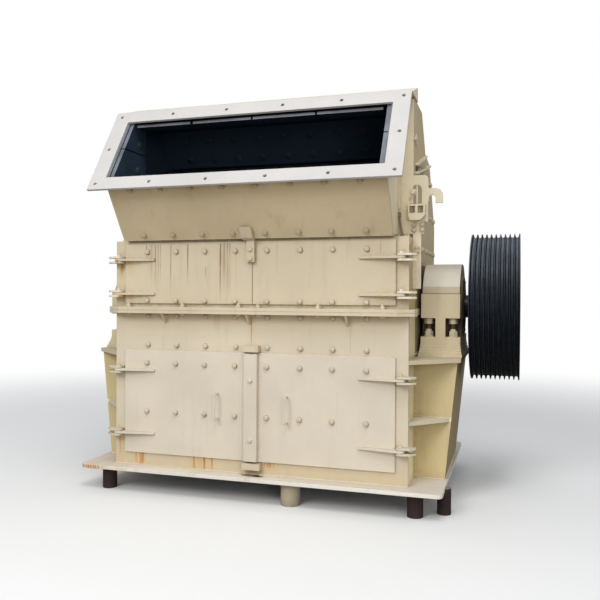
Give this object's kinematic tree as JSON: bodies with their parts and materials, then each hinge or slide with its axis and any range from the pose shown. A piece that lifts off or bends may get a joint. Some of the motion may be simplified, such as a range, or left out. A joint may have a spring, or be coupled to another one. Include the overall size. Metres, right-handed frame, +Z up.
{
  "type": "impact crusher",
  "caption": "Impact crusher with an inclined flanged feed hopper, hinged inspection doors, bearings on side brackets and a grooved belt pulley.",
  "frame": {"origin": "on the floor, below the middle of the bounding box", "axes": "+X along the rotor axis to the pulley, +Y from the feed side to the back, +Z up"},
  "size_m": [2.314, 1.418, 2.0937],
  "materials": {
    "cream_paint": "semi-gloss cream paint, rust-streaked",
    "pale_paint": "matt off-white primer",
    "umber_steel": "dark brown, matt",
    "stub_paint": "dusty grey-beige paint",
    "wear_steel": "bare wear steel with sheared grey edges",
    "dark_steel": "blue-black primer",
    "machined_steel": "turned",
    "black_iron": "black paint, satin"
  },
  "bodies": {
    "casing": {"base_plate": "cream_paint", "corner_feet": "umber_steel", "edge_foot": "umber_steel", "middle_feet": "stub_paint", "lower_front_wall": "cream_paint", "lower_side_wall_left": "cream_paint", "lower_side_wall_right": "cream_paint", "lower_rear_wall": "cream_paint", "lower_flange": "cream_paint", "upper_flange": "cream_paint", "upper_front_wall": "cream_paint", "upper_side_wall_left": "cream_paint", "upper_side_wall_right": "cream_paint", "upper_rear_wall": "cream_paint", "roof_top": "cream_paint", "roof_drop": "cream_paint", "roof_shoulder": "cream_paint", "roof_rear": "cream_paint", "top_beam": "cream_paint", "hopper_front_plate": "cream_paint", "hopper_side_left": "cream_paint", "hopper_side_right": "cream_paint", "feed_flange": "pale_paint", "liners_top": "wear_steel", "liners_side": "wear_steel", "liners_bottom": "wear_steel", "ear_plate_left": "cream_paint", "ear_plate_right": "cream_paint", "side_ribs_left": "cream_paint", "side_ribs_right": "cream_paint", "upper_door_left": "cream_paint", "upper_door_right": "cream_paint", "upper_hinges_left": "cream_paint", "upper_hinges_right": "cream_paint", "upper_clamp": "cream_paint", "lower_hinges_left": "cream_paint", "lower_hinges_right": "cream_paint", "lock_keepers": "cream_paint", "bearing_pedestal_left": "cream_paint", "bearing_pedestal_right": "cream_paint", "bearing_housing_left": "cream_paint", "bearing_housing_right": "cream_paint", "impact_apron_upper": "dark_steel", "impact_apron_lower": "dark_steel"},
    "rotor": {"rotor_shaft": "machined_steel", "rotor_body": "dark_steel", "blow_bars": "wear_steel", "pulley": "black_iron"},
    "left_door": {"lower_door_left": "cream_paint", "lock_bar": "cream_paint"},
    "right_door": {"lower_door_right": "cream_paint"}
  },
  "joints": [
    {"name": "rotor_spin", "type": "hinge", "parent": "casing", "child": "rotor", "pos_m": [1.0355, 0.0955, 0.99], "axis": [1, 0, 0], "continuous": true},
    {"name": "left_door_swing", "type": "hinge", "parent": "casing", "child": "left_door", "pos_m": [-0.897, -0.4673, 0.473], "axis": [0, 0, -1], "range_deg": [0, 110]},
    {"name": "right_door_swing", "type": "hinge", "parent": "casing", "child": "right_door", "pos_m": [0.619, -0.4673, 0.473], "axis": [0, 0, 1], "range_deg": [0, 110]}
  ],
  "couplings": [
    {"joint": "right_door_swing", "follows": "left_door_swing", "ratio": 1}
  ]
}
